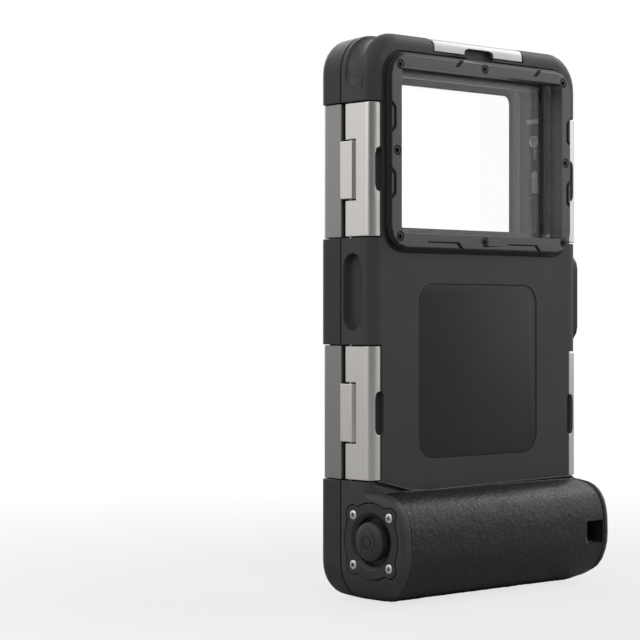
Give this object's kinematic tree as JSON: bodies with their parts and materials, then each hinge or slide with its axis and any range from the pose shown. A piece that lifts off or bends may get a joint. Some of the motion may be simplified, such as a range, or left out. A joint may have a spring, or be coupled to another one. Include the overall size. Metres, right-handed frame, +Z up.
{
  "type": "waterproof phone case",
  "caption": "Tall clamshell waterproof phone case with clear windows, lever latches, a tripod seat and a rear hand grip with a shutter button.",
  "frame": {"origin": "centre of the case's box at its bottom face", "axes": "+Z up along the case, -Y towards the screen side, +X towards the shutter button"},
  "size_m": [0.114, 0.0428, 0.2],
  "materials": {
    "body": "fine matte texture",
    "frame": "fine matte texture",
    "bezel": "satin grey",
    "latch": "satin",
    "clear": "polished",
    "seal": "matte",
    "skin": "grained",
    "black": "satin black",
    "steel": "satin",
    "holder": "matte with a fine pattern",
    "clamp": "matte with a fine pattern",
    "board": "varnished"
  },
  "bodies": {
    "rear_case": {"rear_shell": "body", "shutter_plate": "body", "camera_bezel": "bezel", "camera_window": "clear", "camera_gasket": "seal", "shutter_seal": "seal", "grip_skin": "skin", "tripod_plate": "black", "tripod_insert": "black", "tripod_screw_1": "black", "tripod_screw_2": "black", "shutter_switch": "black", "bezel_screw_1": "black", "bezel_screw_2": "black", "bezel_screw_3": "black", "bezel_screw_4": "black", "bezel_screw_5": "black", "bezel_screw_6": "black", "bezel_screw_7": "black", "bezel_screw_8": "black", "latch_pin_right_upper": "steel", "latch_pin_right_lower": "steel", "latch_pin_left_upper": "steel", "latch_pin_left_lower": "steel", "latch_pin_top": "steel", "latch_pin_bottom": "steel", "shutter_screw_1": "steel", "shutter_screw_2": "steel", "shutter_screw_3": "steel", "shutter_screw_4": "steel", "tray_screw_1": "steel", "tray_screw_2": "steel", "shutter_spring": "steel", "coin_cell": "steel", "holder_tray": "holder", "battery_cover": "clamp", "circuit_board": "board"},
    "front_cover": {"front_frame": "frame", "screen_window": "clear", "main_gasket": "seal", "latch_plate_right_upper": "latch", "latch_plate_right_lower": "latch", "latch_plate_left_upper": "latch", "latch_plate_left_lower": "latch", "latch_plate_top": "latch", "latch_plate_bottom": "latch"},
    "lever_right_upper": {"latch_lever_right_upper": "latch"},
    "lever_right_lower": {"latch_lever_right_lower": "latch"},
    "lever_left_upper": {"latch_lever_left_upper": "latch"},
    "lever_left_lower": {"latch_lever_left_lower": "latch"},
    "lever_top": {"latch_lever_top": "latch"},
    "lever_bottom": {"latch_lever_bottom": "latch"},
    "shutter_button": {"shutter_button": "body"},
    "slider_left": {"lock_slider_left": "holder", "slider_screw_left": "steel"},
    "slider_right": {"lock_slider_right": "holder", "slider_screw_right": "steel"},
    "side_clamp": {"side_clamp": "clamp"},
    "bottom_support": {"bottom_support": "clamp"}
  },
  "joints": [
    {"name": "cover_lift", "type": "slide", "parent": "rear_case", "child": "front_cover", "axis": [0, -1, 0], "range_m": [0, 0.06]},
    {"name": "lever_right_upper", "type": "hinge", "parent": "rear_case", "child": "lever_right_upper", "pos_m": [0.0524, -0.0067, 0.1516], "axis": [0, 0, -1], "range_deg": [0, 100]},
    {"name": "lever_right_lower", "type": "hinge", "parent": "rear_case", "child": "lever_right_lower", "pos_m": [0.0524, -0.0067, 0.0666], "axis": [0, 0, -1], "range_deg": [0, 100]},
    {"name": "lever_left_upper", "type": "hinge", "parent": "rear_case", "child": "lever_left_upper", "pos_m": [-0.0524, -0.0067, 0.1519], "axis": [0, 0, 1], "range_deg": [0, 100]},
    {"name": "lever_left_lower", "type": "hinge", "parent": "rear_case", "child": "lever_left_lower", "pos_m": [-0.0524, -0.0067, 0.0633], "axis": [0, 0, 1], "range_deg": [0, 100]},
    {"name": "lever_top", "type": "hinge", "parent": "rear_case", "child": "lever_top", "pos_m": [0, -0.0067, 0.1974], "axis": [1, 0, 0], "range_deg": [0, 100]},
    {"name": "lever_bottom", "type": "hinge", "parent": "rear_case", "child": "lever_bottom", "pos_m": [0, -0.0067, 0.0026], "axis": [-1, 0, 0], "range_deg": [0, 100]},
    {"name": "shutter_press", "type": "slide", "parent": "rear_case", "child": "shutter_button", "axis": [-1, 0, 0], "range_m": [0, 0.0015], "stiffness_N_per_m": 800, "springref_m": -0.0005},
    {"name": "lock_left", "type": "slide", "parent": "rear_case", "child": "slider_left", "axis": [0, 0, -1], "range_m": [0, 0.004]},
    {"name": "lock_right", "type": "slide", "parent": "rear_case", "child": "slider_right", "axis": [0, 0, -1], "range_m": [0, 0.004]},
    {"name": "side_clamp_slide", "type": "slide", "parent": "rear_case", "child": "side_clamp", "axis": [1, 0, 0], "range_m": [0, 0.003]},
    {"name": "support_slide", "type": "slide", "parent": "rear_case", "child": "bottom_support", "axis": [0, 0, 1], "range_m": [0, 0.012]}
  ]
}
